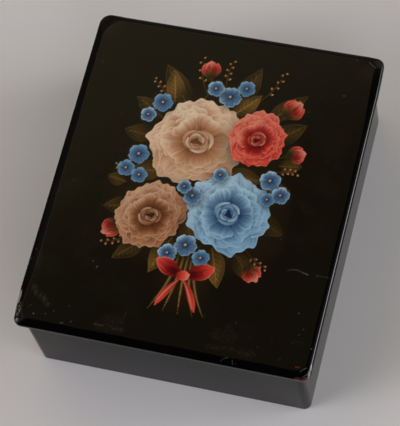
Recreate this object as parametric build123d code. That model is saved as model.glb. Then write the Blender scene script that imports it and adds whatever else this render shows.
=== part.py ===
from build123d import *
from math import cos, radians, sin
import os

# Hinged lacquered box of pressed paper board, in millimetres
# Origin at the middle of the underside, +Z up, +Y towards the hinge, X across the width

# Lid outline and edge
lid_width = 80.0
lid_depth = 92.9
lid_corner_radius = 3.0
lid_panel_edge = 1.15
lid_panel_low_round = 0.3
shoulder_width = 1.95
shoulder_drop = 1.1
shoulder_steps = 4
top_corner_radius = 4.8

# Lid frame under the board, level with the body wall, which makes the recess for the collar
lid_frame_thickness = 2.0
lid_frame_edge_round = 0.3
lid_frame_back_width = 6.2

# Body wall and how far the lid hangs over it
side_overhang = 2.45
front_overhang = 1.35
back_overhang = 1.75
body_height = 25.1
wall_thickness = 2.4
front_corner_radius = 1.9
back_corner_radius = 4.0
body_inner_radius = 2.0
body_top_round = 0.3
body_foot_round = 0.4

# Base board and inner collar
base_thickness = 2.2
collar_thickness = 1.2
collar_stand = 1.9
glue_line = 0.04

# Fits of the lid
lid_gap = 0.3
collar_clearance = 0.35

# Hinge
hinge_length = 68.0
knuckle_count = 11
knuckle_radius = 1.4
knuckle_gap = 0.15
pin_radius = 0.5
pin_clearance = 0.05
pin_end_inset = 0.3
hinge_axis_out = 0.1
hinge_relief = 0.25
channel_clearance = 0.15
leaf_thickness = 0.5
leaf_reach = 4.2
slot_clearance = 0.05

# Small pins that hold the leaves
leaf_pin_count = 5
leaf_pin_radius = 0.4
leaf_pin_length = 1.6
leaf_pin_clearance = 0.03

# Places worked out from the sizes
body_width = lid_width - 2 * side_overhang
body_front = -lid_depth / 2 + front_overhang
body_back = lid_depth / 2 - back_overhang
body_depth = body_back - body_front
body_middle = (body_front + body_back) / 2
rim_bottom = body_height + lid_gap
frame_top = rim_bottom + lid_frame_thickness
shoulder_base = frame_top + lid_panel_edge
box_height = shoulder_base + shoulder_drop
axis_y = body_back + hinge_axis_out
axis_z = body_height
channel_radius = knuckle_radius + channel_clearance
channel_half = hinge_length / 2 + channel_clearance
knuckle_pitch = hinge_length / knuckle_count
frame_opening_back = body_back - lid_frame_back_width
collar_radius = body_inner_radius - glue_line
cavity_radius = collar_radius - collar_thickness
recess_radius = collar_radius + glue_line + collar_clearance
leaf_pin_hole = leaf_pin_radius + leaf_pin_clearance
leaf_pin_depth = body_back - leaf_pin_length
leaf_pin_top = rim_bottom + leaf_pin_length
spare = 1.0


def slab(width, depth, radius, low, high, middle_y=0.0):
    """A rounded rectangle between two heights."""
    outline = RectangleRounded(width, depth, radius)
    return Pos(0, middle_y, low) * extrude(outline, high - low)


def body_slab(low, high):
    """The body's outline between two heights, with rounder corners at the back."""
    width = body_width / 2
    corners = [
        (-width, body_front),
        (width, body_front),
        (width, body_back),
        (-width, body_back),
    ]
    outline = make_face(Polyline(*corners, close=True))
    solid = Pos(0, 0, low) * extrude(outline, high - low)
    uprights = solid.edges().filter_by(Axis.Z).sort_by(Axis.Y)
    solid = fillet(uprights[:2], front_corner_radius)
    uprights = solid.edges().filter_by(Axis.Z).sort_by(Axis.Y)
    return fillet(uprights[-2:], back_corner_radius)


def block(x_low, x_high, y_low, y_high, z_low, z_high):
    """A plain block between two corners."""
    size = Box(x_high - x_low, y_high - y_low, z_high - z_low)
    return Pos((x_low + x_high) / 2, (y_low + y_high) / 2, (z_low + z_high) / 2) * size


def rod_x(radius, x_low, x_high, y, z):
    """A round bar along X."""
    return Pos((x_low + x_high) / 2, y, z) * Rot(0, 90, 0) * Cylinder(radius, x_high - x_low)


def pin_places():
    """X places of the leaf pins, evenly spaced along the hinge."""
    step = hinge_length / (leaf_pin_count + 1)
    return [-hinge_length / 2 + step * (i + 1) for i in range(leaf_pin_count)]


def body_pin_bars(radius, low, high):
    """Bars along Y at the body leaf's pin places."""
    height = axis_z - channel_radius - leaf_reach / 2
    bars = []
    for x in pin_places():
        bars.append(Pos(x, (low + high) / 2, height) * Rot(90, 0, 0) * Cylinder(radius, high - low))
    return bars


def lid_pin_bars(radius, low, high):
    """Bars along Z at the lid leaf's pin places."""
    y = axis_y - channel_radius - leaf_reach / 2
    bars = []
    for x in pin_places():
        bars.append(Pos(x, y, (low + high) / 2) * Cylinder(radius, high - low))
    return bars


def leaf_plate_body(margin):
    """The body leaf's flat part, upright in the wall's thickness, grown by a margin."""
    y_out = axis_y - knuckle_radius + leaf_thickness
    y_in = axis_y - knuckle_radius
    low = axis_z - leaf_reach - channel_radius
    return block(
        -hinge_length / 2 - margin,
        hinge_length / 2 + margin,
        y_in - margin,
        y_out + margin,
        low - margin,
        axis_z,
    )


def leaf_plate_lid(margin):
    """The lid leaf's flat part, level in the frame's thickness, grown by a margin."""
    top = axis_z + knuckle_radius
    front = axis_y - channel_radius - leaf_reach
    return block(
        -hinge_length / 2 - margin,
        hinge_length / 2 + margin,
        front - margin,
        axis_y,
        top - leaf_thickness - margin,
        top + margin,
    )


def knuckle_span(index):
    """X limits of one knuckle, with half the gap taken off each side that has a neighbour."""
    left = -hinge_length / 2 + index * knuckle_pitch
    right = left + knuckle_pitch
    if index > 0:
        left += knuckle_gap / 2
    if index < knuckle_count - 1:
        right -= knuckle_gap / 2
    return left, right


def hinge_leaf(plate, own_parity):
    """One leaf: its plate, notched for the other leaf's knuckles, with its own knuckles rolled on."""
    leaf = plate
    bore = rod_x(pin_radius + pin_clearance, -lid_width, lid_width, axis_y, axis_z)
    for index in range(knuckle_count):
        left, right = knuckle_span(index)
        if index % 2 == own_parity:
            leaf += rod_x(knuckle_radius, left, right, axis_y, axis_z)
        else:
            reach_left = left - knuckle_gap if index > 0 else left - spare
            reach_right = right + knuckle_gap if index < knuckle_count - 1 else right + spare
            leaf -= rod_x(channel_radius, reach_left, reach_right, axis_y, axis_z)
    return leaf - bore


def make_body_wall():
    """The wound wall: one ring, grooved and slotted at the back for the hinge."""
    wall = body_slab(0, body_height)
    wall = fillet(wall.edges().group_by(Axis.Z)[-1], body_top_round)
    wall = fillet(wall.edges().group_by(Axis.Z)[0], body_foot_round)
    hollow_width = body_width - 2 * wall_thickness
    hollow_depth = body_depth - 2 * wall_thickness
    wall -= slab(hollow_width, hollow_depth, body_inner_radius, -spare, body_height + spare, body_middle)
    wall -= rod_x(channel_radius, -channel_half, channel_half, axis_y, axis_z)
    wall -= leaf_plate_body(slot_clearance)
    for bar in body_pin_bars(leaf_pin_hole, leaf_pin_depth, body_back + spare):
        wall -= bar
    return wall


def make_base_panel():
    """The bottom board, flush with the wall's foot."""
    width = body_width - 2 * (wall_thickness + glue_line)
    depth = body_depth - 2 * (wall_thickness + glue_line)
    return slab(width, depth, collar_radius, 0, base_thickness, body_middle)


def make_inner_collar():
    """The sleeve inside the wall, proud of it at the front and sides and level with it at the back."""
    width = body_width - 2 * (wall_thickness + glue_line)
    depth = body_depth - 2 * (wall_thickness + glue_line)
    top = body_height + collar_stand
    floor = base_thickness + glue_line
    collar = slab(width, depth, collar_radius, floor, top, body_middle)
    collar = fillet(collar.edges().group_by(Axis.Z)[-1], collar_thickness / 4)
    inner_width = width - 2 * collar_thickness
    inner_depth = depth - 2 * collar_thickness
    collar -= slab(inner_width, inner_depth, cavity_radius, -spare, top + spare, body_middle)
    stand_back = frame_opening_back - recess_radius - collar_clearance
    collar -= block(-lid_width, lid_width, stand_back, lid_depth, body_height, top + spare)
    return collar


def make_lid_frame():
    """The strip frame under the lid board, with the recess for the collar and the hinge channel."""
    frame = body_slab(rim_bottom, frame_top)
    frame = fillet(frame.edges().group_by(Axis.Z)[0], lid_frame_edge_round)
    opening_width = body_width - 2 * (wall_thickness - collar_clearance)
    opening_front = body_front + wall_thickness - collar_clearance
    opening_depth = frame_opening_back - opening_front
    opening_middle = (frame_opening_back + opening_front) / 2
    frame -= slab(
        opening_width, opening_depth, recess_radius, rim_bottom - spare, frame_top + spare, opening_middle
    )
    frame -= rod_x(channel_radius, -channel_half, channel_half, axis_y, axis_z)
    frame -= leaf_plate_lid(slot_clearance)
    for bar in lid_pin_bars(leaf_pin_hole, rim_bottom - spare, leaf_pin_top):
        frame -= bar
    return frame


def hinge_edge_relief():
    """The sliver filed off the lid's back edge, level with the knuckles."""
    filed_back = lid_depth / 2 - hinge_relief
    return block(-channel_half, channel_half, filed_back, lid_depth, rim_bottom - spare, box_height + spare)


def make_lid_panel():
    """The lid board: an upright edge, and a rounded shoulder up to the flat top."""
    panel = slab(lid_width, lid_depth, lid_corner_radius, frame_top, shoulder_base)
    panel = fillet(panel.edges().group_by(Axis.Z)[0], lid_panel_low_round)
    sections = []
    for step in range(shoulder_steps + 1):
        angle = radians(90 * step / shoulder_steps)
        inset = shoulder_width * (1 - cos(angle))
        radius = lid_corner_radius + (top_corner_radius - lid_corner_radius) * (1 - cos(angle))
        outline = RectangleRounded(lid_width - 2 * inset, lid_depth - 2 * inset, radius)
        sections.append(Pos(0, 0, shoulder_base + shoulder_drop * sin(angle)) * outline)
    panel += loft(sections, ruled=True)
    return panel - hinge_edge_relief()


def make_hinge_pin():
    """The wire through the knuckles, a little short of the barrel at each end."""
    half = hinge_length / 2 - pin_end_inset
    return rod_x(pin_radius, -half, half, axis_y, axis_z)


def make_leaf_pins_body():
    """Pins driven in from the back face, through the wall and the body leaf."""
    return Compound(children=body_pin_bars(leaf_pin_radius, leaf_pin_depth, body_back))


def make_leaf_pins_lid():
    """Pins driven up from the frame's underside, through the frame and the lid leaf."""
    return Compound(children=lid_pin_bars(leaf_pin_radius, rim_bottom, leaf_pin_top))


def cut_pin_holes(leaf, bars):
    """A leaf with its pin holes."""
    for bar in bars:
        leaf -= bar
    return leaf


def make_hinge_leaf_body():
    """The leaf that stands in the wall, with the outer knuckles."""
    bars = body_pin_bars(leaf_pin_hole, leaf_pin_depth, body_back)
    return cut_pin_holes(hinge_leaf(leaf_plate_body(0), 0), bars)


def make_hinge_leaf_lid():
    """The leaf that lies in the lid frame, with the knuckles between."""
    bars = lid_pin_bars(leaf_pin_hole, rim_bottom, leaf_pin_top)
    return cut_pin_holes(hinge_leaf(leaf_plate_lid(0), 1), bars)


parts = {
    "body_wall": make_body_wall(),
    "base_panel": make_base_panel(),
    "inner_collar": make_inner_collar(),
    "hinge_leaf_body": make_hinge_leaf_body(),
    "hinge_leaf_lid": make_hinge_leaf_lid(),
    "hinge_pin": make_hinge_pin(),
    "leaf_pins_body": make_leaf_pins_body(),
    "leaf_pins_lid": make_leaf_pins_lid(),
    "lid_frame": make_lid_frame(),
    "lid_panel": make_lid_panel(),
}

os.makedirs("parts", exist_ok=True)
for name, shape in parts.items():
    export_step(shape, f"parts/{name}.step")
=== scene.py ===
from math import copysign, cos, hypot, pi, radians, sin

import bpy
import numpy as np
from mathutils import Euler, Matrix


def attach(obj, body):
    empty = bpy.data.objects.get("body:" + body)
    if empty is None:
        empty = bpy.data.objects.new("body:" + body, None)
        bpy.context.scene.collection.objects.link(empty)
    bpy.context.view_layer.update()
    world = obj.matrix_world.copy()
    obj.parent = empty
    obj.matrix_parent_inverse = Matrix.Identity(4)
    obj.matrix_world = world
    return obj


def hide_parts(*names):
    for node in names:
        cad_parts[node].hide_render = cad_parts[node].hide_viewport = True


# Lengths are in millimetres and turn into metres as a mesh is made
MM = 0.001

# Pigment under the varnish: the brown and olive of the lid's flat, and the black of all edges and sides
TOP_BROWN = (0.0104, 0.0074, 0.0042)
TOP_OLIVE = (0.0087, 0.0082, 0.0041)
BLACK = (0.0014, 0.0013, 0.0012)

# Marks on the lid, in lid millimetres
# Specks: x, y, radius, strength
SPECKS = (
    (31.3, 33.4, 0.50, 0.05), (23.1, 27.0, 0.34, 0.04), (-22.2, 20.6, 0.44, 0.06),
    (-35.7, 31.5, 0.34, 0.05), (-37.9, 33.7, 0.30, 0.04), (-34.2, -4.0, 0.30, 0.05),
    (-26.3, 17.1, 0.32, 0.03), (-22.8, -25.6, 0.24, 0.14), (-21.3, -26.8, 0.20, 0.20),
    (-21.5, -27.2, 0.20, 0.16), (32.5, 44.3, 0.34, 0.04), (24.1, -10.1, 0.30, 0.04),
    (33.3, -29.3, 0.24, 0.18), (35.5, -33.3, 0.26, 0.10), (34.7, -34.9, 0.24, 0.06),
    (38.6, -38.0, 0.22, 0.12), (9.8, -34.5, 0.30, 0.03), (18.1, -35.0, 0.32, 0.05),
    (24.9, -40.2, 0.30, 0.03), (31.3, -42.3, 0.45, 0.02), (22.6, -38.3, 0.30, 0.02),
    (28.3, -37.9, 0.30, 0.02), (-34.4, -42.9, 0.26, 0.20), (-31.3, -42.3, 0.20, 0.12),
    (-36.1, -41.0, 0.18, 0.09), (-35.6, -40.6, 0.20, 0.11), (-29.3, -41.1, 0.26, 0.07),
    (-25.8, -39.0, 0.26, 0.06), (-24.1, -43.1, 0.24, 0.13), (-38.8, -25.1, 0.24, 0.07),
    (-39.4, -27.8, 0.20, 0.14), (-39.7, -29.4, 0.20, 0.18), (35.6, -18.3, 0.26, 0.09),
    (20.5, -45.5, 0.18, 0.06),
)
# Scratches: start, end, width, strength
SCRATCHES = (
    ((27.7, -18.4), (28.7, -17.9), 0.34, 0.05), ((28.7, -17.9), (30.2, -17.7), 0.34, 0.08),
    ((30.2, -17.7), (31.9, -18.2), 0.34, 0.08), ((31.9, -18.2), (33.2, -18.5), 0.40, 0.14),
    ((36.1, -18.2), (38.7, -18.3), 0.30, 0.05), ((37.1, -44.5), (37.8, -43.7), 0.18, 0.14),
    ((37.8, -43.7), (38.5, -43.1), 0.20, 0.18), ((38.1, -45.5), (38.6, -45.0), 0.16, 0.12),
    ((38.6, -45.0), (39.2, -44.2), 0.20, 0.20), ((35.7, 44.4), (36.7, 43.7), 0.26, 0.10),
    ((36.7, 43.7), (37.8, 43.1), 0.24, 0.12), ((-18.0, -42.5), (-15.3, -42.6), 0.24, 0.065),
    ((-10.7, -39.4), (-10.6, -37.7), 0.24, 0.035), ((16.6, -45.7), (17.2, -44.9), 0.16, 0.08),
    ((17.2, -44.9), (18.3, -44.5), 0.18, 0.08), ((19.5, -44.8), (19.7, -45.8), 0.20, 0.10),
    ((-26.8, -44.0), (-26.0, -43.8), 0.30, 0.11), ((33.3, -37.8), (33.9, -37.0), 0.24, 0.03),
    ((33.9, -37.0), (35.1, -36.7), 0.20, 0.025), ((35.1, -36.7), (36.3, -37.2), 0.20, 0.025),
)
# Soft mottled smears: start, end, half width, strength
SMEARS = (
    ((-36.4, -35.5), (-34.9, -37.3), 0.8, 0.060), ((-34.9, -37.3), (-32.9, -38.2), 0.9, 0.070),
    ((-32.9, -38.2), (-31.3, -39.9), 0.8, 0.050), ((-17.6, -42.6), (-10.4, -42.6), 0.9, 0.034),
    ((-16.0, -40.6), (-11.0, -40.4), 1.1, 0.020), ((12.3, -42.6), (19.1, -42.2), 0.8, 0.024),
    ((13.4, -39.3), (18.0, -38.7), 1.9, 0.022), ((16.3, -36.4), (18.0, -38.7), 1.2, 0.018),
    ((21.0, -42.4), (24.1, -42.4), 1.2, 0.030), ((-37.3, -25.6), (-36.8, -30.1), 0.8, 0.022),
    ((-37.0, -7.7), (-33.0, -3.9), 1.8, 0.012), ((26.7, 0.8), (30.4, -1.4), 1.4, 0.014),
    ((31.4, 13.4), (35.4, 12.4), 0.9, 0.010),
)
# Two dots of stray red paint
RED_DOTS = ((35.9, -43.5), (36.5, -43.4))
# Bare board and pale chips at the front right, and the heights between which they fade
BARE_CORNER = (38.4, -46.2)
BARE_BELOW = (28.6, 29.0)
PALE_CHIPS = ((39.4, -44.6), (39.45, -42.9))
CHIPS_BELOW = (28.95, 29.25)
CHIPS_ABOVE = (27.95, 28.25)
# A pale rubbed edge, a chipped tip and a rough rim at the front left, and a matt corner at the back right
RUBBED_EDGE = (-39.6, -38.8)
CHIPPED_TIP = (-38.5, -45.2)
ROUGH_RIM = (-39.2, -42.2)
MATT_CORNER = (39.2, 45.0)
# Duller spots on the lid's edge: place, radius, softness and added roughness
DULL_SPOTS = (
    ((-39.5, -42.8, 28.6), 1.7, 0.4, 0.35),
    ((40.0, 43.6, 28.6), 3.4, 0.6, 0.25),
)
# Heights between which the lid's marks begin
MARKS_FROM = (27.7, 28.0)

# The floor reaches this far each way, in squares
FLOOR_HALF = 4000.0
FLOOR_STEPS = 8

# Index of refraction of the black and of the red lacquer
BLACK_IOR = 1.26
RED_IOR = 1.3
# Half width, front and back of the red lacquer under the board, on the frame and on the collar
BOARD_RED = (37.0, -43.6, 43.0)
FRAME_RED = (35.56, -43.11, 38.56)
COLLAR_RED = (34.3, -41.9, 41.5)
# The base board is red above this height
BASE_RED_ABOVE = 1.0
# Further than any part of the box reaches
FAR = 100.0

# Camera, fitted to the straight edges of the lid and the walls: place in metres, turn in degrees
CAMERA_PLACE = (0.116144, -0.206096, 0.532635)
CAMERA_TURN = (23.5546, 7.1118, 14.0727)
CAMERA_LENS = 178.25

# World light: azimuth, elevation, sharpness and colour of each wide soft lobe
WORLD_LOBES = (
    (0, 8, 8, (1.92, 1.87, 2.20)),
    (97, 12, 14, (0.28, 0.24, 0.22)),
    (135, 8, 8, (0.23, 0.18, 0.13)),
    (209, 8, 26, (15.0, 14.4, 14.9)),
    (315, 8, 8, (0.31, 0.31, 0.31)),
    (21, 5, 60, (19.0, 19.9, 18.4)),
    (350, 10, 30, (3.55, 3.48, 3.60)),
    (303, 40, 40, (2.30, 2.24, 2.28)),
    (45, 35, 20, (0.13, 0.13, 0.12)),
    (152, 38, 30, (0.18, 0.18, 0.18)),
    (180, 50, 30, (0.92, 0.96, 1.16)),
)
# Lobes of the wide panel behind the box, cut off softly above along a slightly tilted line
PANEL_LOBES = (
    (100, 50, 30, (0.74, 0.62, 0.44)),
    (120, 50, 80, (0.40, 0.40, 0.34)),
    (140, 50, 30, (0.92, 0.70, 0.22)),
)
PANEL_TOP = (0.8735, 0.9015)
PANEL_UP = (0.05, 0.0, 1.0)

# Lid board
LID_WIDTH = 80.0
LID_DEPTH = 92.9
BOARD_BOTTOM = 27.4
BOARD_TOP = 29.57
# Corner radii, in the order front right, back right, back left, front left
OUTER_CORNERS = (2.6, 2.5, 3.0, 2.6)
FLAT_CORNERS = (3.0, 3.4, 6.0, 2.4)
LOW_ROUND = 0.3
# The back edge is set in over the hinge: how deep, over which half length, and where its short end steps stop
RELIEF_DEPTH = 0.12
RELIEF_HALF = 34.15
RELIEF_END = 34.45

# Shoulder of each side, from the flat outwards: distance out and tilt there in degrees
SHOULDERS = {
    "right": ((0.0, 8), (1.16, 32), (1.26, 45), (1.50, 56), (1.55, 68), (1.67, 76), (1.70, 80)),
    "back": ((0.0, 10), (0.5, 18), (1.5, 34), (1.85, 54)),
    "left": ((0.0, 14), (0.1, 25), (2.05, 28), (2.28, 44)),
    "front": ((0.0, 14), (0.5, 19), (1.8, 30), (2.1, 44), (2.18, 60)),
}
SHOULDER_STEPS = 18
CORNER_STEPS = 14
SIDE_STOPS = 24
# Rings on the flat, as distance in from the shoulder
FLAT_INSETS = (9.0, 5.5, 3.2, 1.8, 0.9, 0.4, 0.12)

# The painted posy: a grid of cells in lid millimetres, laid over with shaped strokes
PAINT_LOW = (-25.5, -36.5)
PAINT_HIGH = (25.5, 39.5)
PAINT_STEP = 0.18
# Share of a pigment's light that comes back through the varnish
PAINT_LIGHT = 0.62
# Height of full paint above the flat, and how far its thin rim dips under the flat and comes up again
PAINT_RISE = 0.045
RIM_DIP = 0.006
RIM_RISE = 0.012
# Streaks across a stroke, and how many random numbers they are read from
BRISTLES = 9
STREAKS = 64

PALE_CREAM = (206, 178, 150)
CREAM = (178, 142, 112)
PEACH = (148, 100, 68)
TAWNY = (96, 54, 28)
UMBER = (52, 31, 15)
ROSE_LIGHT = (222, 116, 94)
CORAL = (188, 62, 48)
CRIMSON = (120, 22, 20)
WINE = (62, 12, 12)
PALE_BLUE = (150, 178, 192)
SKY = (112, 148, 172)
SLATE = (62, 92, 118)
DEEP_BLUE = (22, 34, 74)
OLIVE = (92, 68, 30)
MOSS = (56, 42, 18)
DARK_LEAF = (30, 24, 12)
GOLD = (140, 98, 48)
STRAW = (190, 156, 100)

# Parts of the posy, in the order they are painted, in lid millimetres with angles in radians
# Soft brown hazes: x, y, radius, stretch and its direction
HAZES = ((-3, 10, 18, 1.25, 1.3), (7, -8, 15, 1.2, 0.7), (-10, -8, 14, 1.1, 2.2), (2, -24, 8, 1.4, 1.5))
# Leaves: x, y, direction, length, width, bend
FAR_LEAVES = (
    (-9, 22, 2.15, 15, 6.4, 0.3), (4, 24, 1.35, 14, 6.0, -0.3), (14, 16, 0.55, 12, 6.0, 0.3),
    (16, -6, -0.25, 9.0, 5.6, -0.3), (-16, 12, 2.95, 8.5, 5.6, 0.25), (-16, -8, 3.45, 8.5, 5.4, -0.3),
    (13, -16, -0.9, 10, 5.2, 0.25), (-11, -17, 3.95, 10, 5.2, -0.2), (-15, 18, 2.55, 10, 5.2, 0.2),
    (13, 22, 0.85, 13, 5.2, -0.2), (-20, -2, 2.9, 5.5, 4.4, 0.2), (19, 10, 0.1, 6.0, 4.6, 0.2),
)
NEAR_LEAVES = (
    (-4, -15, 4.3, 11.5, 5.6, 0.3), (7, -16, -1.15, 11.5, 5.6, -0.3), (-11, 3, 3.25, 9.5, 6.0, 0.2),
    (15, 2, 0.1, 8.5, 5.8, 0.2), (3, 22, 0.75, 10, 5.2, 0.3), (-13, 23, 1.75, 10, 5.2, 0.3),
    (1, 0, 4.25, 10, 5.4, 0.2), (2, -2, 3.5, 9, 5.0, -0.2), (6, 6, -0.2, 10, 5.2, 0.2),
    (-2, -8, 5.1, 11, 5.2, 0.2),
)
# Grasses: x, y, direction, length, bend
SPRIGS = (
    (-4, 26, 1.95, 12, 2), (8, 26, 1.05, 12.5, -2), (17, 7, 0.25, 7, 1.5), (-17.6, 2, 3.1, 6, 1.2),
    (0, 28, 1.6, 9.6, 1.2), (15, -14, -0.6, 8.5, -1.4), (-14, -15, 3.7, 9, 1.6), (-14, 22, 2.3, 9, -1.4),
)
# Stems: x at the flowers, at the tie and at the foot
STEMS = ((-1.5, 0.4, -5.5), (0.2, 1.0, -1.5), (1.8, 1.2, 2.6), (3.0, 1.8, 6.5), (4.0, 2.2, 9.5))
# Buds: x, y, direction, length
BUDS = (
    (17.0, 24.0, 0.95, 6.6), (20.0, 13.0, 0.35, 5.6), (-18.6, -13.5, 3.9, 5.8), (-5.0, 31.6, 1.8, 5.8),
    (16.8, -19.0, -0.8, 5.6),
)
# Roses: x, y, radius, colours from dark to bright, turn, and how round they are seen
ROSES = (
    (-5.4, 12.4, 13.2, (TAWNY, PEACH, CREAM, PALE_CREAM), 0.5, 0.88),
    (-10.8, -9.4, 9.8, (UMBER, TAWNY, PEACH, CREAM), 4.1, 0.88),
    (9.8, -6.4, 11.8, (DEEP_BLUE, SLATE, SKY, PALE_BLUE), 2.6, 0.86),
    (11.2, 15.6, 8.2, (WINE, CRIMSON, CORAL, ROSE_LIGHT), 1.4, 0.86),
)
# Petal rings of a rose from the outside in: petals, reach and breadth as shares of the radius, offset
ROSE_RINGS = ((7, 1.0, 0.95, 0.0), (6, 0.82, 0.85, 0.5), (5, 0.64, 0.74, 0.2), (5, 0.47, 0.58, 0.6))
# Blue florets in loose clusters: x, y, radius
FLORETS = (
    (17.6, 5.4, 2.9), (21.2, 1.8, 2.5), (18.0, 0.0, 2.1), (-18.8, 6.6, 2.9), (-21.2, 2.0, 2.4),
    (-17.2, 0.6, 2.3), (0.0, -16.6, 3.1), (-4.2, -19.6, 2.6), (4.8, -19.4, 2.4), (1.4, 27.4, 3.1),
    (-3.0, 29.2, 2.4), (5.2, 30.6, 2.4), (-16.2, 22.6, 2.8), (-19.2, 18.4, 2.2), (-1.6, -2.6, 2.6),
    (-4.4, -0.4, 2.0), (4.2, 4.6, 2.1),
)


def srgb(red, green, blue):
    """A colour given as 0 to 255 values, as linear light."""
    out = []
    for value in (red, green, blue):
        value /= 255
        out.append(value / 12.92 if value <= 0.04045 else ((value + 0.055) / 1.055) ** 2.4)
    return out


class Graph:
    """Short calls for building nodes in one tree."""

    def __init__(self, tree):
        self.tree = tree
        tree.nodes.clear()

    def put(self, socket, value):
        """Gives an input a link or a constant."""
        if isinstance(value, bpy.types.NodeSocket):
            self.tree.links.new(value, socket)
        elif isinstance(value, (tuple, list)) and len(value) == 3 and socket.type == "RGBA":
            socket.default_value = (*value, 1)
        else:
            socket.default_value = value

    def node(self, kind, inputs=(), **settings):
        """A new node with its settings and some of its inputs."""
        node = self.tree.nodes.new("ShaderNode" + kind)
        for name, value in settings.items():
            setattr(node, name, value)
        for key, value in dict(inputs).items():
            self.put(node.inputs[key], value)
        return node

    def vector(self, operation, first, second):
        inputs = {0: first, "Scale" if operation == "SCALE" else 1: second}
        node = self.node("VectorMath", inputs, operation=operation)
        return node.outputs["Value" if operation in ("DISTANCE", "DOT_PRODUCT") else 0]

    def math(self, operation, first, second=0.0):
        return self.node("Math", {0: first, 1: second}, operation=operation).outputs[0]

    def times(self, first, second):
        return self.math("MULTIPLY", first, second)

    def ramp(self, value, low, high, bottom=0.0, top=1.0):
        """Maps low..high smoothly onto bottom..top."""
        inputs = enumerate((value, low, high, bottom, top))
        return self.node("MapRange", inputs, interpolation_type="SMOOTHSTEP").outputs[0]

    def mix(self, share, first, second):
        """Mixes two colours."""
        return self.node("Mix", {0: share, 6: first, 7: second}, data_type="RGBA").outputs[2]

    def blend(self, share, first, second):
        """Mixes two numbers."""
        return self.node("Mix", {0: share, 2: first, 3: second}).outputs[0]


class Surface(Graph):
    """The nodes of one material, in millimetres of object space."""

    def __init__(self, name):
        self.material = bpy.data.materials.new(name)
        self.material.use_nodes = True
        super().__init__(self.material.node_tree)
        self.shader = self.node("BsdfPrincipled")
        self.node("OutputMaterial", {0: self.shader.outputs[0]})
        coords = self.node("TexCoord").outputs["Object"]
        self.place = self.vector("MULTIPLY", coords, (1 / MM, 1 / MM, 1 / MM))
        self.x, self.y, self.z = self.node("SeparateXYZ", {0: self.place}).outputs

    def set(self, name, value):
        """Sets one input of the shader."""
        self.put(self.shader.inputs[name], value)

    def noise(self, size, detail, roughness=0.5, stretch=(1, 1, 1)):
        """Noise whose main features are size millimetres across."""
        place = self.vector("MULTIPLY", self.place, stretch)
        inputs = {"Vector": place, "Scale": 1 / size, "Detail": detail, "Roughness": roughness}
        return self.node("TexNoise", inputs).outputs["Fac"]

    def bump(self, height, distance):
        """Tilts the surface by a height field; distance is the height of 1 in millimetres."""
        node = self.node("Bump", {"Distance": distance * MM, "Height": height})
        self.set("Normal", node.outputs[0])

    def near(self, place, radius, edge):
        """1 inside a ball, 0 outside, changing over edge times its radius on each side of its surface."""
        reach = self.vector("DISTANCE", self.place, place)
        return self.ramp(reach, radius * (1 - edge), radius * (1 + edge), 1.0, 0.0)

    def from_above(self, squash=(1, 1)):
        """The place without its height, squashed along x and y."""
        return self.vector("MULTIPLY", self.place, (*squash, 0))

    def attribute(self, name):
        """A node that reads a value stored in the mesh."""
        return self.node("Attribute", attribute_name=name)


def segment_reach(g, flat, start, end):
    """Distance from a straight stretch between two places on the lid."""
    dx, dy = end[0] - start[0], end[1] - start[1]
    length = hypot(dx, dy)
    offset = g.vector("SUBTRACT", flat, (*start, 0))
    along = g.vector("DOT_PRODUCT", offset, (dx / length, dy / length, 0))
    across = g.math("ABSOLUTE", g.vector("DOT_PRODUCT", offset, (-dy / length, dx / length, 0)))
    beyond = g.math("MAXIMUM", g.times(along, -1.0), g.math("SUBTRACT", along, length))
    return g.math("ADD", across, g.math("MAXIMUM", beyond, 0.0))


def strokes(g, flat, rows, fade):
    """Marks along straight stretches, each gone at fade times its width from its middle."""
    return [g.ramp(segment_reach(g, flat, start, end), width * 0.2, width * fade, strength, 0.0)
            for start, end, width, strength in rows]


def strongest(g, marks):
    """The highest of several values."""
    top = marks[0]
    for mark in marks[1:]:
        top = g.math("MAXIMUM", top, mark)
    return top


def lid_marks(g):
    """Strength of the pale specks and scratches, and of the soft smears, on the lid."""
    flat = g.from_above()
    specks = []
    for x, y, radius, strength in SPECKS:
        reach = g.vector("DISTANCE", flat, (x, y, 0))
        specks.append(g.ramp(reach, radius * 0.5, radius * 1.2, strength, 0.0))
    marks = strongest(g, specks + strokes(g, flat, SCRATCHES, 0.8))
    smears = strongest(g, strokes(g, flat, SMEARS, 1.5))
    ragged = g.ramp(g.noise(0.35, 3), 0.35, 0.6, 0.35, 1.0)
    mottled = g.ramp(g.noise(0.9, 5, 0.75), 0.42, 0.66, 0.12, 1.0)
    upper = g.ramp(g.z, *MARKS_FROM)
    marks, smears = [g.times(g.times(mark, uneven), upper)
                     for mark, uneven in ((marks, ragged), (smears, mottled))]
    return marks, smears


def worn_spot(g, place, squash, size, grit, rag=0.5, edge=0.2):
    """1 inside a ragged spot stretched along one axis, 0 outside."""
    centre = (place[0] * squash[0], place[1] * squash[1], 0)
    distance = g.vector("DISTANCE", g.from_above(squash), centre)
    reach = g.math("ADD", distance, g.times(grit, rag))
    rim = size + rag * 0.5
    return g.ramp(reach, rim - edge / 2, rim + edge / 2, 1.0, 0.0)


def right_corner_wear(g, ground, grit):
    """Bare board and pale chips at the front right corner."""
    board_tone = g.mix(g.ramp(g.noise(0.5, 3), 0.35, 0.65), srgb(44, 26, 16), srgb(78, 51, 35))
    below = g.ramp(g.z, *BARE_BELOW, 1.0, 0.0)
    bare = g.times(worn_spot(g, BARE_CORNER, (0.36, 1.0), 0.90, grit), below)
    ground = g.mix(bare, ground, board_tone)
    outer = g.times(g.ramp(g.z, *CHIPS_BELOW, 1.0, 0.0), g.ramp(g.z, *CHIPS_ABOVE))
    for place in PALE_CHIPS:
        chip = g.times(worn_spot(g, place, (1.4, 0.38), 0.38, grit, 0.9), outer)
        ground = g.mix(chip, ground, srgb(128, 122, 117))
    return ground


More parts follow.
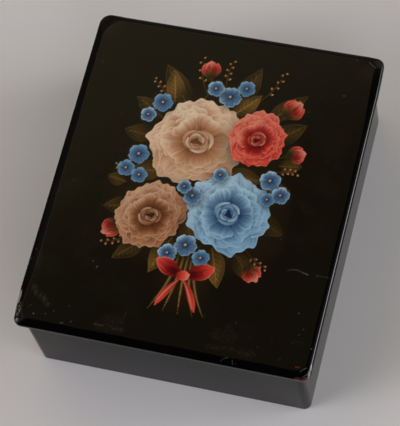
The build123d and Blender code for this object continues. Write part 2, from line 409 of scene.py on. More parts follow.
def corner_wear(g, ground):
    """Bare board, chips and rubbed lacquer at the lid's corners, laid over the ground colour."""
    grit = g.noise(0.42, 4, 0.6)
    ground = right_corner_wear(g, ground, grit)
    ground = g.mix(worn_spot(g, RUBBED_EDGE, (1.3, 0.26), 0.50, grit, 0.2), ground, srgb(128, 126, 120))
    tip = worn_spot(g, CHIPPED_TIP, (1.0, 0.8), 0.45, grit, 0.7)
    ground = g.mix(tip, ground, g.mix(g.ramp(grit, 0.44, 0.56), srgb(58, 54, 50), srgb(132, 128, 122)))
    matt = g.mix(g.ramp(grit, 0.35, 0.65), srgb(27, 23, 19), srgb(48, 42, 37))
    ground = g.mix(worn_spot(g, MATT_CORNER, (0.8, 1.0), 1.7, grit, 0.6, 1.2), ground, matt)
    rim = worn_spot(g, ROUGH_RIM, (1.0, 0.45), 1.1, grit, 0.4, 0.9)
    rubbed = g.times(rim, g.ramp(grit, 0.53, 0.59))
    return g.mix(g.times(rubbed, 0.75), ground, srgb(120, 114, 108))


def lid_ground(g, black, painted):
    """The lid's colours: varnished brown on the flat, black edges, worn corners and red underneath."""
    top = g.mix(g.ramp(g.noise(22, 3, 0.55), 0.40, 0.62), TOP_BROWN, TOP_OLIVE)
    ground = top if painted else g.mix(g.attribute("ground").outputs["Fac"], black, top)
    ground = corner_wear(g, ground)
    lowest = g.ramp(g.z, BOARD_BOTTOM + 0.02, BOARD_BOTTOM + 0.08, 1.0, 0.0)
    underside = g.times(within(g, *BOARD_RED), lowest)
    return g.mix(underside, ground, red_ground(g))


def add_red_dots(g, ground):
    """The dots of stray red paint, laid over the ground colour."""
    flat = g.from_above()
    for x, y in RED_DOTS:
        dot = g.ramp(g.vector("DISTANCE", flat, (x, y, 0)), 0.10, 0.26, 0.75, 0.0)
        ground = g.mix(dot, ground, srgb(160, 44, 52))
    return ground


def make_black_lacquer(name, lid=False, painted=False):
    """Deep black lacquer; the lid adds its brown ground and marks, painted adds the pigment layer."""
    g = Surface(name)
    grain = g.noise(0.35, 2)
    darker = [part * 0.8 for part in BLACK]
    lighter = [part * 1.2 for part in BLACK]
    ground = g.mix(g.ramp(g.noise(14, 3), 0.3, 0.7), darker, lighter)
    pale = g.times(g.ramp(g.noise(0.24, 1), 0.76, 0.82), 0.05)
    if lid:
        ground = lid_ground(g, ground, painted)
        marks, smears = lid_marks(g)
        pale = g.math("ADD", pale, marks)
    if painted:
        pigment = g.attribute("pigment")
        ground = g.mix(pigment.outputs["Alpha"], ground, pigment.outputs["Color"])
    ground = g.mix(pale, ground, srgb(196, 190, 180))
    if lid:
        ground = g.mix(smears, ground, srgb(192, 178, 144))
    if lid and not painted:
        ground = add_red_dots(g, ground)
    g.set("Base Color", ground)

    smudge = g.ramp(g.noise(9, 4, 0.6), 0.45, 0.72)
    rough = g.blend(smudge, 0.07, 0.15)
    rough = g.math("ADD", rough, g.times(grain, 0.03))
    rough = g.math("ADD", rough, g.times(pale, 0.8))
    if lid and not painted:
        for place, radius, edge, added in DULL_SPOTS:
            rough = g.math("ADD", rough, g.times(g.near(place, radius, edge), added))
    g.set("Roughness", rough)
    g.set("IOR", BLACK_IOR)
    if not lid:
        # The front face's gloss is dimmed, more towards the top, which makes that face darker
        dimmed_front = g.times(g.ramp(g.y, -44.6, -43.6, 1.0, 0.0), g.ramp(g.z, -3.0, 23.0))
        g.set("Specular IOR Level", g.blend(dimmed_front, 0.46, 0.25))
    g.bump(g.math("ADD", g.noise(3.2, 2), g.times(grain, 0.06)), 0.012)
    return g.material


def red_ground(g):
    """Colour of the red lacquer inside, a little uneven."""
    return g.mix(g.ramp(g.noise(9, 4), 0.3, 0.7), srgb(126, 21, 12), srgb(140, 27, 15))


def within(g, half_width, front, back, soft_edge=0.03):
    """1 inside a rectangle seen from above, 0 outside."""
    side = g.ramp(g.math("ABSOLUTE", g.x), half_width - soft_edge, half_width + soft_edge, 1.0, 0.0)
    past_front = g.ramp(g.y, front - soft_edge, front + soft_edge)
    before_back = g.ramp(g.y, back - soft_edge, back + soft_edge, 1.0, 0.0)
    return g.times(side, g.times(past_front, before_back))


def make_inner_lacquer(name, area=(FAR, -FAR, FAR), low=-FAR, soft_edge=0.05):
    """Red lacquer within a rectangle and above a height, black elsewhere."""
    g = Surface(name)
    above = g.ramp(g.z, low - soft_edge, low + soft_edge)
    share = g.times(within(g, *area), above)
    g.set("Base Color", g.mix(share, BLACK, red_ground(g)))
    g.set("Roughness", g.math("ADD", g.blend(g.noise(5, 3), 0.08, 0.14), g.times(share, 0.08)))
    g.set("IOR", RED_IOR)
    g.bump(g.noise(1.6, 3), 0.008)
    return g.material


def make_brass():
    """Aged brass, browned unevenly in patches, with faint brighter streaks along it."""
    g = Surface("aged_brass")
    browned = g.ramp(g.noise(2.6, 5, 0.6), 0.36, 0.62)
    drawn = g.ramp(g.noise(0.5, 3, stretch=(0.12, 1, 1)), 0.3, 0.7)
    aged = g.mix(browned, srgb(92, 68, 38), srgb(158, 122, 68))
    g.set("Base Color", g.mix(g.times(drawn, 0.4), aged, srgb(186, 150, 90)))
    g.set("Metallic", g.blend(browned, 0.7, 1.0))
    g.set("Roughness", g.blend(browned, 0.46, 0.30))
    g.bump(g.noise(0.3, 3), 0.01)
    return g.material


def make_steel():
    """Drawn steel wire."""
    g = Surface("drawn_steel")
    lines = g.noise(0.08, 2, stretch=(0.05, 1, 1))
    g.set("Base Color", g.mix(lines, srgb(120, 120, 122), srgb(170, 170, 172)))
    g.set("Metallic", 1.0)
    g.set("Roughness", g.blend(lines, 0.25, 0.4))
    return g.material


def mesh_object(name, points, faces):
    """A smooth-shaded mesh from points in millimetres."""
    mesh = bpy.data.meshes.new(name)
    mesh.from_pydata([tuple(c * MM for c in p) for p in points], [], faces)
    mesh.update()
    mesh.polygons.foreach_set("use_smooth", [True] * len(mesh.polygons))
    thing = bpy.data.objects.new(name, mesh)
    bpy.context.scene.collection.objects.link(thing)
    return thing


def soft(value, low, high):
    """Smooth step from 0 at low to 1 at high."""
    t = np.clip((value - low) / (high - low), 0, 1)
    return t * t * (3 - 2 * t)


def shoulder_profile(side):
    """Points of a shoulder, as distance out from the flat and drop, evenly spaced along it."""
    outs, tilts = zip(*SHOULDERS[side])
    out = np.linspace(0, outs[-1], 400)
    slope = np.tan(np.radians(np.interp(out, outs, tilts)))
    drop = np.concatenate(([0.0], np.cumsum((slope[1:] + slope[:-1]) / 2 * np.diff(out))))
    reach = np.concatenate(([0.0], np.cumsum(np.hypot(np.diff(out), np.diff(drop)))))
    stops = np.linspace(0, 1, SHOULDER_STEPS + 1) * reach[-1]
    return np.interp(stops, reach, out), np.interp(stops, reach, drop)


def side_shares(angle):
    """How much of each side's profile a point takes, from the way its outline faces."""
    c, s = cos(angle), sin(angle)
    facing = {"right": c, "left": -c, "back": s, "front": -s}
    return {side: max(share, 0) ** 2 for side, share in facing.items()}


def waver(x, y, angle):
    """How far the hand-rubbed edge of the flat strays outwards at a place."""
    along_y = 0.09 * sin(0.29 * y + 0.8) + 0.06 * sin(0.71 * y + 2.1)
    along_x = 0.07 * sin(0.33 * x + 2.4) + 0.05 * sin(0.83 * x + 0.5)
    shares = side_shares(angle)
    along_left = 0.75 * soft(-y, 28, 43) - 0.36 * soft(-y, -40, 20)
    along_right = -0.85 * soft(y, 18, 46)
    return along_y + along_x + along_left * shares["left"] + along_right * shares["right"]


def rubbed_in(x, y):
    """How far the outer edge is rubbed in towards its corners, as a shift of x."""
    if x < 0:
        return 0.45 * soft(-y, 37, 45)
    return -0.26 * soft(y, 36, 44) - 0.09 * soft(-y, -10, 40)


def rubbed_down(x, angle):
    """How far the back edge is rubbed down towards its right-hand corner, as a shift of y."""
    return -0.23 * soft(x, 35.8, 38.8) * max(sin(angle), 0) ** 2


def arc_centre(x, y, radius):
    """Centre of the rounded corner of the two sides that meet at a place."""
    return x - copysign(radius, x), y - copysign(radius, y)


def outline(insets, radii, stray=0.0):
    """Points and facing angles round a rounded rectangle, each side moved in by its own amount."""
    right = LID_WIDTH / 2 - insets["right"]
    left = -LID_WIDTH / 2 + insets["left"]
    back = LID_DEPTH / 2 - insets["back"]
    front = -LID_DEPTH / 2 + insets["front"]
    inner = np.linspace(-RELIEF_HALF, RELIEF_HALF, SIDE_STOPS)
    stops = np.concatenate(([-RELIEF_END], inner, [RELIEF_END])) / RELIEF_END
    corners = ((right, front, 270), (right, back, 0), (left, back, 90), (left, front, 180))
    points = []
    for index, (x, y, turn) in enumerate(corners):
        radius = radii[index]
        cx, cy = arc_centre(x, y, radius)
        for k in range(CORNER_STEPS + 1):
            angle = radians(turn + 90 * k / CORNER_STEPS)
            points.append((cx + radius * cos(angle), cy + radius * sin(angle), angle))
        following = (index + 1) % 4
        next_cx, next_cy = arc_centre(*corners[following][:2], radii[following])
        along_x = index in (1, 3)
        first, last = (cx, next_cx) if along_x else (cy, next_cy)
        half = abs(last - first) / 2
        middle = (last + first) / 2
        reach = min(half - 0.05, RELIEF_END) if along_x else half - 0.4
        heading = copysign(1, last - first)
        for stop in stops:
            place = middle + heading * stop * reach
            points.append((place, y, angle) if along_x else (x, place, angle))
    if stray:
        moves = [stray * waver(*point) for point in points]
        points = [(x + m * cos(a), y + m * sin(a), a) for m, (x, y, a) in zip(moves, points)]
    return [(x + rubbed_in(x, y) * cos(a) ** 2, y + rubbed_down(x, a), a) for x, y, a in points]


def settle(x, y):
    """How far the flat falls near its corners, where the edge was rubbed down."""
    corner_inset = 2.2
    spread = 6.0
    reach = hypot(abs(x) - LID_WIDTH / 2 + corner_inset, abs(y) - LID_DEPTH / 2 + corner_inset)
    share = max(0.0, 1 - reach / spread)
    fall = 0.05 if x < 0 and y < 0 else 0.16
    return fall * share * share


def shoulder_rings():
    """The rings of the shoulder, from the flat to the top of the upright edge."""
    profiles = {side: shoulder_profile(side) for side in SHOULDERS}
    rings = []
    for step in range(SHOULDER_STEPS + 1):
        insets = {side: profiles[side][0][-1] - profiles[side][0][step] for side in SHOULDERS}
        share = sum(profiles[side][0][step] / profiles[side][0][-1] for side in SHOULDERS) / 4
        radii = [flat + (outer - flat) * share for flat, outer in zip(FLAT_CORNERS, OUTER_CORNERS)]
        ring = []
        for x, y, angle in outline(insets, radii, max(0.0, 1 - 1.6 * share)):
            drop = sum(part * profiles[side][1][step] for side, part in side_shares(angle).items())
            ring.append((x, y, BOARD_TOP - drop))
        rings.append(ring)
    return rings


def plain_ring(inset, height):
    """One ring at the same inset and height all round."""
    insets = {side: inset for side in SHOULDERS}
    radii = [max(radius - inset * 0.5, 1.5) for radius in OUTER_CORNERS]
    return [(x, y, height) for x, y, _ in outline(insets, radii)]


def flat_ring(extra):
    """One ring on the flat, extra millimetres in from the shoulder."""
    insets = {side: SHOULDERS[side][-1][0] + extra for side in SHOULDERS}
    stray = max(0.0, 1 - extra / 3)
    return [(x, y, BOARD_TOP) for x, y, _ in outline(insets, FLAT_CORNERS, stray)]


def board_rings():
    """All rings of the lid board, from the middle of the flat over the edge to the underside."""
    rings = [flat_ring(extra) for extra in FLAT_INSETS] + shoulder_rings()
    arris = rings[-1]
    lower = plain_ring(0, BOARD_BOTTOM + LOW_ROUND)
    for share in (0.12, 0.6):
        rings.append([(bx, by, az + (bz - az) * share) for (_, _, az), (bx, by, bz) in zip(arris, lower)])
    for step in range(5):
        angle = radians(22.5 * step)
        inset = LOW_ROUND * (1 - cos(angle))
        height = BOARD_BOTTOM + LOW_ROUND * (1 - sin(angle))
        rings.append(plain_ring(inset, height))
    for inset in (1.0, 2.6):
        rings.append(plain_ring(inset, BOARD_BOTTOM))
    return rings


def board_points(rings):
    """The rings' points, with the relief over the hinge cut and the flat's corners settled."""
    settled = len(FLAT_INSETS) + SHOULDER_STEPS - 2
    points = []
    for level, ring in enumerate(rings):
        for x, y, z in ring:
            if abs(x) <= RELIEF_HALF + 0.01:
                y = min(y, LID_DEPTH / 2 - RELIEF_DEPTH)
            points.append((x, y, z - (settle(x, y) if level < settled else 0)))
    return points


def make_lid_board():
    """The lid board: flat top with rubbed corners, shoulder, thin upright edge and flat underside."""
    rings = board_rings()
    points = board_points(rings)
    count = len(rings[0])
    faces = [tuple(range(count))]
    for level in range(len(rings) - 1):
        a = level * count
        b = a + count
        for k in range(count):
            n = (k + 1) % count
            faces.append((a + k, b + k, b + n, a + n))
    last = (len(rings) - 1) * count
    faces.append(tuple(reversed(range(last, last + count))))
    board = mesh_object("lid_board", points, faces)
    ground = board.data.attributes.new("ground", "FLOAT", "POINT")
    shares = np.zeros(len(points), np.float32)
    shares[:(len(FLAT_INSETS) + 1) * count] = 1.0
    ground.data.foreach_set("value", shares)
    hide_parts("lid_panel")
    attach(board, "lid")
    return board


def paint(colour):
    """A colour as it should look on the lid, turned into the pigment that gives it."""
    return np.minimum(np.array(srgb(*colour)) / PAINT_LIGHT, 0.9)


def between(first, second, share):
    """A colour part of the way from one to another."""
    return tuple(a * (1 - share) + b * share for a, b in zip(first, second))


def lit_share(angle):
    """How much a petal that points this way faces the painted light, from the upper left."""
    return 0.5 + 0.5 * cos(angle - 2.2)


def read_row(row, place, smooth):
    """Values between the numbers of a row that repeats."""
    base = np.floor(place).astype(int)
    part = place - base
    if smooth:
        part = part * part * (3 - 2 * part)
    return row[base % STREAKS] * (1 - part) + row[(base + 1) % STREAKS] * part


class Canvas:
    """Pigment colour, cover and thickness on a grid of cells."""

    def __init__(self, seed):
        self.xs = np.arange(PAINT_LOW[0], PAINT_HIGH[0], PAINT_STEP)
        self.ys = np.arange(PAINT_LOW[1], PAINT_HIGH[1], PAINT_STEP)
        shape = (len(self.ys), len(self.xs))
        self.colour = np.zeros(shape + (3,))
        self.cover = np.zeros(shape)
        self.thick = np.zeros(shape)
        self.random = np.random.RandomState(seed)

    def window(self, x, y, reach):
        """The cells within reach of a place, as slices and offsets."""
        i0, i1 = np.searchsorted(self.xs, (x - reach, x + reach))
        j0, j1 = np.searchsorted(self.ys, (y - reach, y + reach))
        cells = (slice(j0, j1), slice(i0, i1))
        dx, dy = np.meshgrid(self.xs[i0:i1] - x, self.ys[j0:j1] - y)
        return cells, dx, dy

    def lay(self, cells, share, colour, body):
        """Lays colour over the cells, share by share."""
        share = np.clip(share, 0, 1)
        s = share[..., None]
        old = self.cover[cells][..., None]
        new = s + old * (1 - s)
        mixed = (colour * s + self.colour[cells] * old * (1 - s)) / np.maximum(new, 1e-6)
        self.colour[cells] = np.where(new > 1e-6, mixed, 0)
        self.cover[cells] = new[..., 0]
        self.thick[cells] = self.thick[cells] * (1 - 0.7 * share) + body * share

    def bristles(self, across, along):
        """Streaks that run along a stroke and drift a little across it."""
        broad, fine, _ = self.random.rand(3, STREAKS)
        place = (across + 1.3) * BRISTLES
        first = read_row(broad, place + along * 0.6, True)
        second = read_row(fine, place * 2.3 + along * 1.7, False)
        return first * 0.65 + second * 0.35 - 0.5

    def petal(self, x, y, angle, length, width, base, middle, tip, fullness=1.5, round_off=0.62,
              bend=0.0, ruffle=0.05, rim=0.5, rim_colour=None, body=0.5, edge=0.12, lean=0.0):
        """One broad stroke from (x, y): dark at its base, light towards its tip."""
        mx = 0.5 * length * cos(angle)
        my = 0.5 * length * sin(angle)
        cells, dx, dy = self.window(x + mx, y + my, length * 0.75 + width * 0.5)
        dx = dx + mx
        dy = dy + my
        u = (dx * cos(angle) + dy * sin(angle)) / length
        v = (-dx * sin(angle) + dy * cos(angle)) / (width / 2)
        v = v - bend * u * u
        phase = self.random.rand(4) * 6.3
        wave = np.sin(v * 5 + phase[0]) * 0.6 + np.sin(v * 11 + phase[1]) * 0.4
        u = u * (1 + ruffle * wave * np.clip(u, 0, 1))
        inside = np.clip(u, 1e-4, 1 - 1e-4)
        half = np.sin(pi * inside ** fullness) ** round_off
        s = v / np.maximum(half, 0.02)
        margin = (1 - np.abs(s)) * half * width / 2
        margin = np.minimum(margin, (1 - u) * length * 0.9)
        margin = np.minimum(margin, u * length * 0.9)
        mask = soft(margin, -edge * 0.3, edge)
        streak = self.bristles(np.clip(s, -1.2, 1.2), u)
        tone = np.clip(u + 0.30 * streak + lean * s, 0, 1)
        low = soft(tone, 0.0, 0.62)[..., None]
        high = soft(tone, 0.5, 1.05)[..., None]
        colour = paint(base) * (1 - low) + paint(middle) * low
        colour = colour * (1 - high) + paint(tip) * high
        line = np.exp(-((margin - 0.16) / 0.17) ** 2) * soft(u, 0.35, 0.8) * rim
        line = (line * np.clip(0.75 + 0.9 * streak, 0, 1))[..., None]
        colour = colour * (1 - line) + paint(rim_colour or tip) * line
        self.lay(cells, mask, colour, body * (0.6 + 0.4 * streak + 0.3 * soft(u, 0.6, 1)))

    def shade(self, x, y, radius, colour, strength, stretch=1.0, angle=0.0):
        """A soft round glaze."""
        cells, dx, dy = self.window(x, y, radius * 1.6 * max(stretch, 1))
        a = dx * cos(angle) + dy * sin(angle)
        b = -dx * sin(angle) + dy * cos(angle)
        reach = np.sqrt((a / stretch) ** 2 + b * b) / radius
        self.lay(cells, strength * soft(1.25 - reach, 0, 1.0), paint(colour), 0.1)

    def line(self, points, width, colour, tip_colour=None, opacity=1.0, body=0.5, swell=0.5):
        """A brush line along the curve of three control points, thickest part way along."""
        p = np.array(points, float)
        length = np.abs(np.diff(p, axis=0)).sum()
        count = max(int(length / (PAINT_STEP * 0.5)), 8)
        t = np.linspace(0, 1, count)[:, None]
        q = p[0] * (1 - t) ** 2 + 2 * p[1] * t * (1 - t) + p[2] * t * t
        middle = (q.min(0) + q.max(0)) / 2
        reach = (q.max(0) - q.min(0)).max() / 2 + width * 1.5
        cells, dx, dy = self.window(middle[0], middle[1], reach)
        best = np.full(dx.shape, 9.0)
        along = np.zeros(dx.shape)
        profile = np.sin(pi * np.clip(t[:, 0], 0.03, 0.97) ** swell) ** 0.7
        for k in range(count):
            half = width / 2 * max(profile[k], 0.15)
            reach = np.sqrt((dx + middle[0] - q[k, 0]) ** 2 + (dy + middle[1] - q[k, 1]) ** 2) / half
            closer = reach < best
            best = np.where(closer, reach, best)
            along = np.where(closer, t[k, 0], along)
        soft_edge = PAINT_STEP * 0.9 / width
        mask = soft(1 - best, -soft_edge, soft_edge * 2)
        a = along[..., None]
        tone = paint(colour) * (1 - a) + paint(tip_colour or colour) * a
        self.lay(cells, mask * opacity, tone, body)


def rose(canvas, x, y, radius, colours, turn, tilt):
    """A full rose seen from a little to one side, its heart set off the middle."""
    dark, middle, light, bright = colours
    rand = canvas.random.rand
    hx = x + 0.10 * radius * cos(turn)
    hy = y + 0.10 * radius * sin(turn)
    canvas.shade(x + 0.07 * radius, y - 0.10 * radius, radius * 1.28, DARK_LEAF, 1.0)
    for ring, (count, reach, broad, offset) in enumerate(ROSE_RINGS):
        for k in range(count):
            angle = turn + 2 * pi * (k + offset + 0.16 * (rand() - 0.5)) / count
            squeeze = tilt + (1 - tilt) * abs(cos(angle - turn))
            length = radius * reach * squeeze * (0.94 + 0.12 * rand())
            bx = hx + radius * 0.05 * ring * cos(angle)
            by = hy + radius * 0.05 * ring * sin(angle)
            lit = lit_share(angle)
            width = radius * broad * (0.9 + 0.2 * rand())
            lean = 0.12 * (rand() - 0.5)
            canvas.petal(bx, by, angle, length, width, dark, between(middle, light, 0.35 * lit),
                         between(light, bright, lit), fullness=1.9, round_off=0.55, ruffle=0.07, rim=0.75,
                         rim_colour=bright, body=0.55 + 0.1 * ring, lean=lean)
    rose_heart(canvas, hx, hy, radius, colours, turn, tilt)


def rose_heart(canvas, hx, hy, radius, colours, turn, tilt):
    """The furled petals in a rose's middle, as a spiral of lit lines and shadows."""
    dark, middle, light, bright = colours
    canvas.shade(hx, hy, radius * 0.34, dark, 0.8)
    for k in range(9):
        reach = radius * (0.30 - 0.024 * k)
        points = []
        for way, bulge in ((-0.95, 1.0), (0.0, 1.35), (0.95, 1.0)):
            angle = turn + 2.4 * k + way
            points.append((reach * cos(angle) * bulge, reach * tilt * sin(angle) * bulge))
        lines = [[(hx + px * size, hy + py * size) for px, py in points] for size in (1.0, 0.86)]
        lit_tone = light if k % 2 else bright
        canvas.line(lines[0], radius * 0.105, lit_tone, middle, opacity=0.9, body=0.8, swell=0.9)
        canvas.line(lines[1], radius * 0.05, dark, opacity=0.6)


def leaf(canvas, x, y, angle, length, width, bend, colours):
    """A pointed leaf with a midrib and side veins."""
    dark, middle, light = colours
    canvas.petal(x, y, angle, length, width, dark, middle, dark, fullness=0.82, round_off=0.9, bend=bend,
                 ruffle=0.02, rim=0.35, rim_colour=light, body=0.4, lean=0.30)

    def place(u, v):
        across = (v + bend * u * u) * width / 2
        return (x + u * length * cos(angle) - across * sin(angle),
                y + u * length * sin(angle) + across * cos(angle))

    for side in (-1, 1):
        for k in range(6):
            u = 0.14 + 0.12 * k
            span = sin(pi * min(u + 0.12, 0.98) ** 0.82) ** 0.9 * 0.86
            vein = [place(u, 0), place(u + 0.09, side * span * 0.45), place(u + 0.15, side * span)]
            thickness = 0.30 + 0.1 * canvas.random.rand()
            canvas.line(vein, thickness, light, middle, opacity=0.55 if side > 0 else 0.35, body=0.6)
    midrib = [place(0, 0), place(0.5, -0.05), place(0.97, 0)]
    canvas.line(midrib, 0.42, light, light, opacity=0.8, body=0.7)


def floret(canvas, x, y, radius, light, turn):
    """A small blue five-petalled flower with a gold eye."""
    canvas.shade(x + 0.12 * radius, y - 0.16 * radius, radius * 1.30, DARK_LEAF, 1.0)
    for k in range(5):
        angle = turn + 2 * pi * k / 5
        tip = between(SLATE, light, lit_share(angle))
        canvas.petal(x, y, angle, radius, radius * 0.98, DEEP_BLUE, SLATE, tip, fullness=1.7, round_off=0.5,
                     rim=0.6, rim_colour=light, body=0.6, edge=0.1)
    canvas.shade(x, y, radius * 0.20, UMBER, 0.9)
    canvas.shade(x - 0.1, y + 0.1, radius * 0.13, STRAW, 1.0)


def bud(canvas, x, y, angle, length):
    """A half-open red bud in its sepals, on a short stem."""
    sx = x - 4.6 * cos(angle)
    sy = y - 4.6 * sin(angle)
    canvas.line([(sx - 2, sy - 2.5), (sx, sy), (x, y)], 0.5, MOSS, OLIVE)
    for offset, scale, tip in ((0.32, 0.92, CORAL), (-0.34, 0.9, CORAL), (0.0, 1.0, ROSE_LIGHT)):
        canvas.petal(x, y, angle + offset, length * scale, length * 0.62, WINE, CRIMSON, tip, fullness=1.15,
                     round_off=0.7, rim=0.6, rim_colour=ROSE_LIGHT, ruffle=0.03, lean=0.1)
    for offset in (0.75, -0.75, 0.2):
        canvas.petal(x, y, angle + offset, length * 0.62, length * 0.2, DARK_LEAF, MOSS, OLIVE, fullness=0.8,
                     round_off=0.9, bend=-offset * 0.6, rim=0.3, rim_colour=GOLD)
    canvas.shade(x, y, length * 0.14, MOSS, 0.9)


def sprig(canvas, x, y, angle, length, bend):
    """A thin stem with seven small seed heads."""
    end = (x + length * cos(angle), y + length * sin(angle))
    knee_x = x + 0.5 * length * cos(angle) - bend * sin(angle)
    knee_y = y + 0.5 * length * sin(angle) + bend * cos(angle)
    canvas.line([(x, y), (knee_x, knee_y), end], 0.32, MOSS, OLIVE, opacity=0.9)
    for k in range(7):
        t = 0.42 + 0.58 * k / 6
        px = x * (1 - t) ** 2 + 2 * knee_x * t * (1 - t) + end[0] * t * t
        py = y * (1 - t) ** 2 + 2 * knee_y * t * (1 - t) + end[1] * t * t
        side = 1 if k % 2 else -1
        way = angle + side * (0.7 + 0.3 * canvas.random.rand())
        canvas.petal(px, py, way, 1.5 - 0.5 * t, 0.75, UMBER, TAWNY, STRAW, fullness=1.0, round_off=0.8,
                     rim=0.3, body=0.7)


def stems(canvas):
    """The stems below the tie, each with a lit edge."""
    for x0, x1, x2 in STEMS:
        canvas.line([(x0, -16), (x1, -25), (x2, -35.6)], 0.85, MOSS, OLIVE, body=0.6, swell=0.8)
        lit = [(x0 - 0.15, -16), (x1 - 0.15, -25), (x2 - 0.15, -35)]
        canvas.line(lit, 0.28, OLIVE, STRAW, opacity=0.6, body=0.7)


def ribbon(canvas):
    """The red bow over the stems: two loops, two tails and the knot."""
    x, y = 1.4, -25.0
    up = pi / 2
    for side in (-1, 1):
        canvas.petal(x, y, up + side * 1.25, 8.4, 4.6, WINE, CRIMSON, CORAL, fullness=1.3, round_off=0.6,
                     bend=-side * 0.3, ruffle=0.03, rim=0.8, rim_colour=ROSE_LIGHT, body=0.7)
        canvas.petal(x, y, up + side * 1.30, 5.6, 2.0, WINE, WINE, CRIMSON, fullness=1.3, round_off=0.7,
                     rim=0.3)
        tail = [(x, -25.4), (x + side * 3.2, -29), (x + side * 5.2, -34.2)]
        canvas.line(tail, 1.9, CRIMSON, CORAL, opacity=0.95, body=0.7, swell=1.5)
        sheen = [(1.2, -25.6), (1.2 + side * 3.0, -29), (1.0 + side * 5.0, -33.8)]
        canvas.line(sheen, 0.4, ROSE_LIGHT, opacity=0.8, body=0.8, swell=1.2)
    canvas.petal(-0.4, y, 0, 3.6, 2.9, CRIMSON, CORAL, ROSE_LIGHT, fullness=1.0, round_off=0.5, body=0.8)


def paint_posy():
    """The whole posy, from the haze behind it to the bow."""
    canvas = Canvas(11)
    for x, y, radius, stretch, angle in HAZES:
        canvas.shade(x, y, radius, UMBER, 0.34, stretch, angle)
    for values in FAR_LEAVES:
        leaf(canvas, *values, (DARK_LEAF, MOSS, OLIVE))
    for values in SPRIGS:
        sprig(canvas, *values)
    stems(canvas)
    for values in NEAR_LEAVES:
        leaf(canvas, *values, (MOSS, OLIVE, GOLD))
    for values in BUDS:
        bud(canvas, *values)
    for values in ROSES:
        rose(canvas, *values)
    for x, y, radius in FLORETS:
        light = PALE_BLUE if canvas.random.rand() > 0.4 else SKY
        floret(canvas, x, y, radius, light, canvas.random.rand() * 6)
    ribbon(canvas)
    return canvas


def grown(mask):
    """A mask grown by one cell each way."""
    wide = mask.copy()
    wide[1:] |= mask[:-1]
    wide[:-1] |= mask[1:]
    wide[:, 1:] |= mask[:, :-1]
    wide[:, :-1] |= mask[:, 1:]
    return wide


def smoothed(heights):
    """Heights with each inner cell averaged with its four neighbours."""
    out = heights.copy()
    sides = heights[:-2, 1:-1] + heights[2:, 1:-1] + heights[1:-1, :-2] + heights[1:-1, 2:]
    out[1:-1, 1:-1] = (heights[1:-1, 1:-1] * 4 + sides) / 8
    return out


def painted_cells(canvas):
    """The grid's squares that hold paint and its rim, and the corners that they use."""
    near = grown(grown(canvas.cover > 0.015))
    near[0] = near[-1] = False
    near[:, 0] = near[:, -1] = False
    cells = near[:-1, :-1] & near[1:, :-1] & near[:-1, 1:] & near[1:, 1:]
    rows, columns = near.shape
    used = np.zeros(near.shape, bool)
    for j, i in ((0, 0), (0, 1), (1, 0), (1, 1)):
        used[j:rows - 1 + j, i:columns - 1 + i] |= cells
    return cells, used


def make_painted_posy():
    """The paint layer on the lid: the canvas as a thin raised skin whose rim dips under the lacquer."""
    canvas = paint_posy()
    cells, used = painted_cells(canvas)
    index = np.cumsum(used.ravel()).reshape(used.shape) - 1
    gx, gy = np.meshgrid(canvas.xs, canvas.ys)
    body = np.clip(smoothed(smoothed(canvas.thick * canvas.cover)), 0, 1.3)
    rise = PAINT_RISE * body + RIM_RISE * soft(canvas.cover, 0.0, 0.05) - RIM_DIP
    points = np.stack((gx[used], gy[used], (BOARD_TOP + rise)[used]), 1)
    jj, ii = np.nonzero(cells)
    faces = np.stack((index[jj, ii], index[jj, ii + 1], index[jj + 1, ii + 1], index[jj + 1, ii]), 1)
    skin = mesh_object("painted_posy", points.tolist(), faces.tolist())
    pigment = skin.data.color_attributes.new("pigment", "FLOAT_COLOR", "POINT")
    values = np.concatenate((canvas.colour[used], canvas.cover[used][:, None]), 1)
    pigment.data.foreach_set("color", values.astype(np.float32).ravel())
    chart = skin.data.uv_layers.new(name="OFBake")
    corners = np.empty(len(skin.data.loops), np.int32)
    skin.data.loops.foreach_get("vertex_index", corners)
    low = np.array(PAINT_LOW)
    size = np.array(PAINT_HIGH) - low
    chart.data.foreach_set("uv", ((points[:, :2] - low) / size)[corners].astype(np.float32).ravel())
    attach(skin, "lid")
    return skin


def make_floor():
    """A plain pale sheet, 8 metres across."""
    marks = np.linspace(-FLOOR_HALF, FLOOR_HALF, FLOOR_STEPS + 1)
    points = [(x, y, 0.0) for y in marks for x in marks]
    row = FLOOR_STEPS + 1
    corners = [j * row + i for j in range(FLOOR_STEPS) for i in range(FLOOR_STEPS)]
    floor = mesh_object("studio_floor", points, [(a, a + 1, a + row + 1, a + row) for a in corners])
    g = Surface("pale_paper")
    tone = g.ramp(g.noise(60, 3), 0.3, 0.7)
    g.set("Base Color", g.mix(tone, (0.83, 0.815, 0.805), (0.85, 0.835, 0.825)))
    g.set("Roughness", 0.9)
    g.set("Specular IOR Level", 0.2)
    floor.data.materials.append(g.material)


def lobe_sum(g, coords, lobes):
    """The light of several lobes added up."""
    total = None
    for azimuth, elevation, sharpness, colour in lobes:
        turn = radians(azimuth)
        lift = radians(elevation)
        way = (cos(turn) * cos(lift), sin(turn) * cos(lift), sin(lift))
        facing = g.math("MAXIMUM", g.vector("DOT_PRODUCT", coords, way), 0.0)
        light = g.vector("SCALE", colour, g.math("POWER", facing, sharpness))
        total = light if total is None else g.vector("ADD", light, total)
    return total


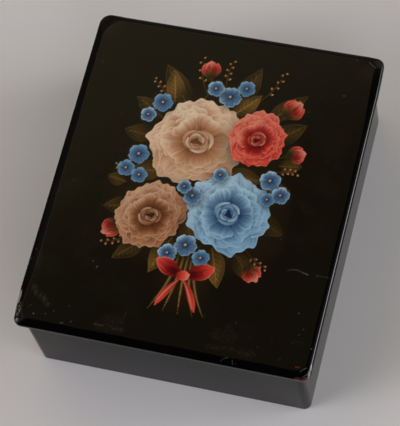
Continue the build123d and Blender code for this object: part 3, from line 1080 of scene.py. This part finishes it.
def make_world():
    """Plain soft light: a few wide lobes round a dark sky, and a wide panel with a soft upper edge."""
    world = bpy.data.worlds.new("studio")
    bpy.context.scene.world = world
    world.use_nodes = True
    g = Graph(world.node_tree)
    coords = g.node("TexCoord").outputs["Generated"]
    below_top = g.ramp(g.vector("DOT_PRODUCT", coords, PANEL_UP), *PANEL_TOP, 1.0, 0.0)
    panel = g.vector("SCALE", lobe_sum(g, coords, PANEL_LOBES), below_top)
    background = g.node("Background", {0: g.vector("ADD", lobe_sum(g, coords, WORLD_LOBES), panel)})
    g.node("OutputWorld", {0: background.outputs[0]})


def make_camera():
    """The photograph's camera."""
    data = bpy.data.cameras.new("camera")
    data.lens = CAMERA_LENS
    data.sensor_width = 36.0
    data.clip_start = 0.01
    data.clip_end = 50.0
    camera = bpy.data.objects.new("camera", data)
    bpy.context.scene.collection.objects.link(camera)
    turn = Euler([radians(angle) for angle in CAMERA_TURN])
    camera.matrix_world = Matrix.LocRotScale(CAMERA_PLACE, turn, None)
    bpy.context.scene.camera = camera


def dress(node, material):
    """Gives a CAD node one material."""
    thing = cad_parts[node]
    thing.data.materials.clear()
    thing.data.materials.append(material)


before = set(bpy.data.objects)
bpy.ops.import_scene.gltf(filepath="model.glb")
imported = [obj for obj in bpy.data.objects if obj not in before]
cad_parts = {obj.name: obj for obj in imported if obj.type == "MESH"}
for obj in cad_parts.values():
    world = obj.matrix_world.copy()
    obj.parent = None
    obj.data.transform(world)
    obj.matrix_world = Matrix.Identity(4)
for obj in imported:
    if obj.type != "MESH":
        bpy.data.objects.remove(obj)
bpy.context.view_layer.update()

bpy.context.scene.view_settings.view_transform = "Standard"
make_camera()
make_world()
make_floor()

board = make_lid_board()
board.data.materials.append(make_black_lacquer("black_lacquer_top", lid=True))
posy = make_painted_posy()
posy.data.materials.append(make_black_lacquer("painted_lacquer", lid=True, painted=True))
dress("body_wall", make_black_lacquer("black_lacquer_sides"))
dress("lid_frame", make_inner_lacquer("lid_frame_lacquer", FRAME_RED))
dress("inner_collar", make_inner_lacquer("collar_lacquer", COLLAR_RED))
dress("base_panel", make_inner_lacquer("base_lacquer", low=BASE_RED_ABOVE))
dress("hinge_pin", make_steel())
brass = make_brass()
for node in ("hinge_leaf_body", "hinge_leaf_lid", "leaf_pins_body", "leaf_pins_lid"):
    dress(node, brass)
